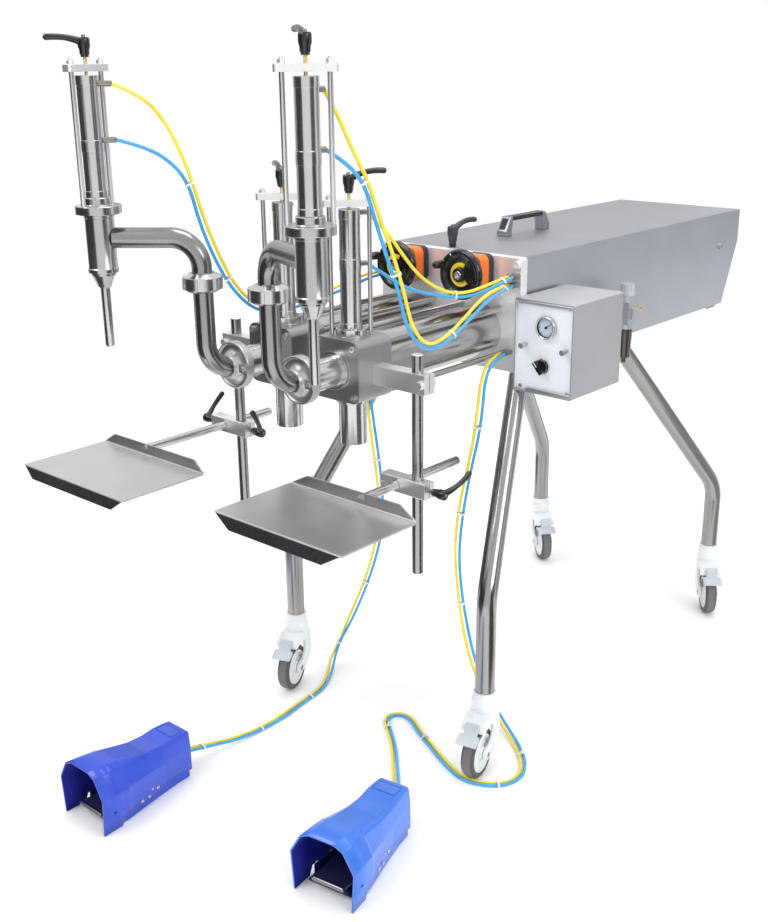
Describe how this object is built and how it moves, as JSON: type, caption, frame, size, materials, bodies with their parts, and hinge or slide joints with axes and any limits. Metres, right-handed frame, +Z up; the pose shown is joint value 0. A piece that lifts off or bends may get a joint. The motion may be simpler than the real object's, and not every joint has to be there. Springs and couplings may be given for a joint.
{
  "type": "twin head piston filling machine",
  "caption": "Pneumatic piston filler on a castered tube stand, with metering cylinders, swung-out filling heads, adjustable bottle trays, a hinged hood and foot pedals on air hoses.",
  "frame": {"origin": "middle of the footprint on the floor, without the hoses", "axes": "+Z up, +X towards the control box side, +Y from the filling heads towards the rear of the hood"},
  "size_m": [0.7466, 1.7556, 1.3701],
  "materials": {
    "stainless": "polished stainless steel with hard light and dark bands",
    "stainless_satin": "satin brushed stainless sheet",
    "box_steel": "light grey satin sheet",
    "air_unit": "dark plastic body with a brass barb",
    "indicator_orange": "orange plastic",
    "pedal_blue": "gloss royal blue paint",
    "treadle_metal": "ribbed grey metal",
    "black_plastic": "black plastic on metal studs",
    "fitting_grey": "dark push-in fittings",
    "hose_blue": "one blue and one yellow polyurethane tube in each pair",
    "caster_white": "white plastic",
    "caster_grey": "pale grey plastic",
    "tyre": "grey-brown rubber tyre on a white plastic wheel"
  },
  "bodies": {
    "frame": {"front_plate": "stainless", "bed_frame": "stainless_satin", "front_legs": "stainless", "rear_legs": "stainless", "metering_cylinders": "stainless", "valve_bodies": "stainless", "delivery_pipes": "stainless", "nozzle_bodies": "stainless", "air_actuators": "stainless", "stop_frames": "stainless", "post_brackets": "stainless", "control_box": "box_steel", "air_unit": "air_unit", "position_indicators": "indicator_orange", "pedal_housings": "pedal_blue", "hose_fittings": "fitting_grey", "hose_pair_head_left": "hose_blue", "hose_pair_head_right": "hose_blue", "hose_pair_inlet": "hose_blue", "hose_pair_pedal_left": "hose_blue", "hose_pair_pedal_right": "hose_blue"},
    "hood": {"hood_cover": "stainless_satin", "hood_handle": "black_plastic"},
    "cross_clamp_left": {"cross_clamp_left": "stainless"},
    "tray_left": {"tray_left": "stainless"},
    "post_lever_left": {"post_lever_left": "black_plastic"},
    "cross_clamp_right": {"cross_clamp_right": "stainless"},
    "tray_right": {"tray_right": "stainless"},
    "post_lever_right": {"post_lever_right": "black_plastic"},
    "metering_piston_left": {"metering_piston_left": "stainless"},
    "metering_piston_right": {"metering_piston_right": "stainless"},
    "cut_off_plunger_left": {"cut_off_plunger_left": "stainless"},
    "cut_off_plunger_right": {"cut_off_plunger_right": "stainless"},
    "handwheel_left": {"handwheel_left": "black_plastic"},
    "handwheel_right": {"handwheel_right": "black_plastic"},
    "caster_fork_front_left": {"caster_fork_front_left": "caster_white"},
    "caster_fork_front_right": {"caster_fork_front_right": "caster_white"},
    "caster_fork_rear_left": {"caster_fork_rear_left": "caster_white"},
    "caster_fork_rear_right": {"caster_fork_rear_right": "caster_white"},
    "wheel_front_left": {"wheel_front_left": "tyre"},
    "wheel_front_right": {"wheel_front_right": "tyre"},
    "wheel_rear_left": {"wheel_rear_left": "tyre"},
    "wheel_rear_right": {"wheel_rear_right": "tyre"},
    "brake_pedal_front_left": {"brake_pedal_front_left": "caster_grey"},
    "brake_pedal_front_right": {"brake_pedal_front_right": "caster_grey"},
    "brake_pedal_rear_left": {"brake_pedal_rear_left": "caster_grey"},
    "brake_pedal_rear_right": {"brake_pedal_rear_right": "caster_grey"},
    "treadle_left": {"treadle_left": "treadle_metal"},
    "treadle_right": {"treadle_right": "treadle_metal"},
    "rod_lever_left": {"rod_lever_left": "black_plastic"},
    "hood_lever": {"hood_lever": "black_plastic"},
    "stroke_lever_left": {"stroke_lever_left": "black_plastic"},
    "stroke_lever_right": {"stroke_lever_right": "black_plastic"},
    "inlet_lever_left": {"inlet_lever_left": "black_plastic"},
    "inlet_lever_right": {"inlet_lever_right": "black_plastic"},
    "selector_knob": {"selector_knob": "black_plastic"},
    "gauge_needle": {"gauge_needle": "black_plastic"},
    "flow_screw_left": {"flow_screw_left": "stainless"},
    "flow_screw_right": {"flow_screw_right": "stainless"},
    "regulator_knob": {"regulator_knob": "black_plastic"}
  },
  "joints": [
    {"name": "hood_hinge", "type": "hinge", "parent": "frame", "child": "hood", "pos_m": [0.01269, 0.81484, 0.736], "axis": [-1, 0, 0], "range_deg": [0, 70]},
    {"name": "clamp_height_left", "type": "slide", "parent": "frame", "child": "cross_clamp_left", "axis": [0, 0, 1], "range_m": [-0.12, 0.1]},
    {"name": "clamp_height_right", "type": "slide", "parent": "frame", "child": "cross_clamp_right", "axis": [0, 0, 1], "range_m": [-0.1, 0.1]},
    {"name": "tray_reach_left", "type": "slide", "parent": "cross_clamp_left", "child": "tray_left", "axis": [0, 1, 0], "range_m": [-0.09, 0.12]},
    {"name": "tray_reach_right", "type": "slide", "parent": "cross_clamp_right", "child": "tray_right", "axis": [0, 1, 0], "range_m": [-0.12, 0.05]},
    {"name": "piston_stroke_left", "type": "slide", "parent": "frame", "child": "metering_piston_left", "axis": [0, -1, 0], "range_m": [0, 0.2]},
    {"name": "piston_stroke_right", "type": "slide", "parent": "frame", "child": "metering_piston_right", "axis": [0, -1, 0], "range_m": [0, 0.2]},
    {"name": "plunger_lift_left", "type": "slide", "parent": "frame", "child": "cut_off_plunger_left", "axis": [0, 0, 1], "range_m": [0, 0.014]},
    {"name": "plunger_lift_right", "type": "slide", "parent": "frame", "child": "cut_off_plunger_right", "axis": [0, 0, 1], "range_m": [0, 0.014]},
    {"name": "handwheel_turn_left", "type": "hinge", "parent": "frame", "child": "handwheel_left", "pos_m": [-0.06831, -0.10916, 0.933], "axis": [0, 1, 0], "continuous": true},
    {"name": "handwheel_turn_right", "type": "hinge", "parent": "frame", "child": "handwheel_right", "pos_m": [0.0937, -0.10916, 0.933], "axis": [0, 1, 0], "continuous": true},
    {"name": "swivel_front_left", "type": "hinge", "parent": "frame", "child": "caster_fork_front_left", "pos_m": [-0.2473, -0.25016, 0.15], "axis": [0, 0, 1], "continuous": true},
    {"name": "swivel_front_right", "type": "hinge", "parent": "frame", "child": "caster_fork_front_right", "pos_m": [0.2727, -0.25016, 0.15], "axis": [0, 0, 1], "continuous": true},
    {"name": "swivel_rear_left", "type": "hinge", "parent": "frame", "child": "caster_fork_rear_left", "pos_m": [-0.2393, 0.68384, 0.15], "axis": [0, 0, 1], "continuous": true},
    {"name": "swivel_rear_right", "type": "hinge", "parent": "frame", "child": "caster_fork_rear_right", "pos_m": [0.2647, 0.68384, 0.15], "axis": [0, 0, 1], "continuous": true},
    {"name": "roll_front_left", "type": "hinge", "parent": "caster_fork_front_left", "child": "wheel_front_left", "pos_m": [-0.23548, -0.28097, 0.05], "axis": [0.9336, 0.3584, 0], "continuous": true},
    {"name": "roll_front_right", "type": "hinge", "parent": "caster_fork_front_right", "child": "wheel_front_right", "pos_m": [0.28012, -0.28231, 0.05], "axis": [0.9744, 0.225, 0], "continuous": true},
    {"name": "roll_rear_left", "type": "hinge", "parent": "caster_fork_rear_left", "child": "wheel_rear_left", "pos_m": [-0.21403, 0.66263, 0.05], "axis": [0.6428, 0.766, 0], "continuous": true},
    {"name": "roll_rear_right", "type": "hinge", "parent": "caster_fork_rear_right", "child": "wheel_rear_right", "pos_m": [0.28501, 0.65784, 0.05], "axis": [0.788, 0.6157, 0], "continuous": true},
    {"name": "brake_front_left", "type": "hinge", "parent": "caster_fork_front_left", "child": "brake_pedal_front_left", "pos_m": [-0.22867, -0.29871, 0.112], "axis": [0.9336, 0.3584, 0], "range_deg": [0, 16]},
    {"name": "brake_front_right", "type": "hinge", "parent": "caster_fork_front_right", "child": "brake_pedal_front_right", "pos_m": [0.28439, -0.30083, 0.112], "axis": [0.9744, 0.225, 0], "range_deg": [0, 16]},
    {"name": "brake_rear_left", "type": "hinge", "parent": "caster_fork_rear_left", "child": "brake_pedal_rear_left", "pos_m": [-0.19947, 0.65041, 0.112], "axis": [0.6428, 0.766, 0], "range_deg": [0, 16]},
    {"name": "brake_rear_right", "type": "hinge", "parent": "caster_fork_rear_right", "child": "brake_pedal_rear_right", "pos_m": [0.29671, 0.64286, 0.112], "axis": [0.788, 0.6157, 0], "range_deg": [0, 16]},
    {"name": "treadle_press_left", "type": "hinge", "parent": "frame", "child": "treadle_left", "pos_m": [-0.16865, -0.70117, 0.034], "axis": [0.9999, 0.0105, 0], "range_deg": [0, 4], "stiffness_Nm_per_rad": 9, "springref_deg": -1.15},
    {"name": "treadle_press_right", "type": "hinge", "parent": "frame", "child": "treadle_right", "pos_m": [0.28015, -0.56557, 0.034], "axis": [0.9863, 0.165, 0], "range_deg": [0, 4], "stiffness_Nm_per_rad": 9, "springref_deg": -1.15},
    {"name": "post_lever_turn_right", "type": "hinge", "parent": "cross_clamp_right", "child": "post_lever_right", "pos_m": [0.2727, -0.41016, 0.6227], "axis": [1, 0, 0], "range_deg": [-40, 40]},
    {"name": "post_lever_turn_left", "type": "hinge", "parent": "cross_clamp_left", "child": "post_lever_left", "pos_m": [-0.1793, -0.41016, 0.6405], "axis": [1, 0, 0], "range_deg": [-40, 40]},
    {"name": "rod_lever_turn_left", "type": "hinge", "parent": "cross_clamp_left", "child": "rod_lever_left", "pos_m": [-0.2953, -0.41016, 0.6405], "axis": [1, 0, 0], "range_deg": [-40, 40]},
    {"name": "hood_lever_turn", "type": "hinge", "parent": "hood", "child": "hood_lever", "pos_m": [-0.0123, -0.00316, 0.969], "axis": [0, 0, 1], "range_deg": [-60, 60]},
    {"name": "stroke_lever_turn_left", "type": "hinge", "parent": "frame", "child": "stroke_lever_left", "pos_m": [-0.19931, -0.70716, 1.33], "axis": [0, 0, 1], "continuous": true},
    {"name": "stroke_lever_turn_right", "type": "hinge", "parent": "frame", "child": "stroke_lever_right", "pos_m": [0.2497, -0.66116, 1.33], "axis": [0, 0, 1], "continuous": true},
    {"name": "inlet_lever_turn_left", "type": "hinge", "parent": "frame", "child": "inlet_lever_left", "pos_m": [-0.06831, -0.41516, 1.112], "axis": [0, 0, 1], "continuous": true},
    {"name": "inlet_lever_turn_right", "type": "hinge", "parent": "frame", "child": "inlet_lever_right", "pos_m": [0.0937, -0.41516, 1.112], "axis": [0, 0, 1], "continuous": true},
    {"name": "selector_turn", "type": "hinge", "parent": "frame", "child": "selector_knob", "pos_m": [0.2507, -0.05716, 0.769], "axis": [0, 1, 0], "range_deg": [-45, 45]},
    {"name": "needle_sweep", "type": "hinge", "parent": "frame", "child": "gauge_needle", "pos_m": [0.2577, -0.06116, 0.845], "axis": [0, 1, 0], "range_deg": [-90, 180], "stiffness_Nm_per_rad": 0.0002},
    {"name": "flow_screw_turn_left", "type": "hinge", "parent": "frame", "child": "flow_screw_left", "pos_m": [0.21069, -0.05716, 0.806], "axis": [0, 1, 0], "continuous": true},
    {"name": "flow_screw_turn_right", "type": "hinge", "parent": "frame", "child": "flow_screw_right", "pos_m": [0.30269, -0.05716, 0.806], "axis": [0, 1, 0], "continuous": true},
    {"name": "regulator_turn", "type": "hinge", "parent": "frame", "child": "regulator_knob", "pos_m": [0.2207, 0.29084, 0.86], "axis": [0, 0, 1], "continuous": true}
  ]
}
